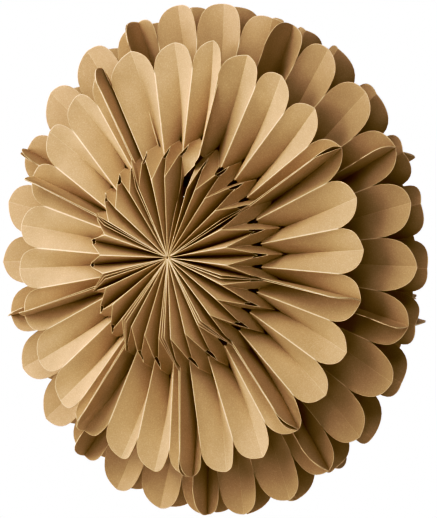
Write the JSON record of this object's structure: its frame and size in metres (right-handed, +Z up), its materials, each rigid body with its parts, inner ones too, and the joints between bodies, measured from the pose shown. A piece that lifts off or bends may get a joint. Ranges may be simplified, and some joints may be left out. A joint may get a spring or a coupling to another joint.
{
  "type": "paper star lantern",
  "caption": "Round hanging paper star lantern of four pleated kraft paper rosettes with rounded petals and a folded inner star.",
  "frame": {"origin": "centre of the lantern, on the rosettes' common axis, half way between the front and back apexes", "axes": "+Y along the lantern's axis from the front star to the back star (the front faces -Y), +Z up, +X to the right as seen from the front"},
  "size_m": [0.45, 0.1352, 0.4485],
  "materials": {
    "rosette_paper": "matte uncoated brown kraft paper",
    "ring_paper": "matte uncoated brown kraft paper"
  },
  "bodies": {
    "root": {"front_rosette_sheet_1": "rosette_paper", "front_rosette_sheet_2": "rosette_paper", "front_rosette_sheet_3": "rosette_paper", "front_rosette_sheet_4": "rosette_paper", "front_rosette_sheet_5": "rosette_paper", "front_rosette_sheet_6": "rosette_paper", "front_rosette_sheet_7": "rosette_paper", "front_rosette_sheet_8": "rosette_paper", "front_rosette_sheet_9": "rosette_paper", "front_ring_sheet_1": "ring_paper", "front_ring_sheet_2": "ring_paper", "front_ring_sheet_3": "ring_paper", "front_ring_sheet_4": "ring_paper", "front_ring_sheet_5": "ring_paper", "front_ring_sheet_6": "ring_paper", "front_ring_sheet_7": "ring_paper", "front_ring_sheet_8": "ring_paper", "front_ring_sheet_9": "ring_paper", "back_ring_sheet_1": "ring_paper", "back_ring_sheet_2": "ring_paper", "back_ring_sheet_3": "ring_paper", "back_ring_sheet_4": "ring_paper", "back_ring_sheet_5": "ring_paper", "back_ring_sheet_6": "ring_paper", "back_ring_sheet_7": "ring_paper", "back_ring_sheet_8": "ring_paper", "back_ring_sheet_9": "ring_paper", "back_rosette_sheet_1": "rosette_paper", "back_rosette_sheet_2": "rosette_paper", "back_rosette_sheet_3": "rosette_paper", "back_rosette_sheet_4": "rosette_paper", "back_rosette_sheet_5": "rosette_paper", "back_rosette_sheet_6": "rosette_paper", "back_rosette_sheet_7": "rosette_paper", "back_rosette_sheet_8": "rosette_paper", "back_rosette_sheet_9": "rosette_paper"}
  },
  "joints": []
}
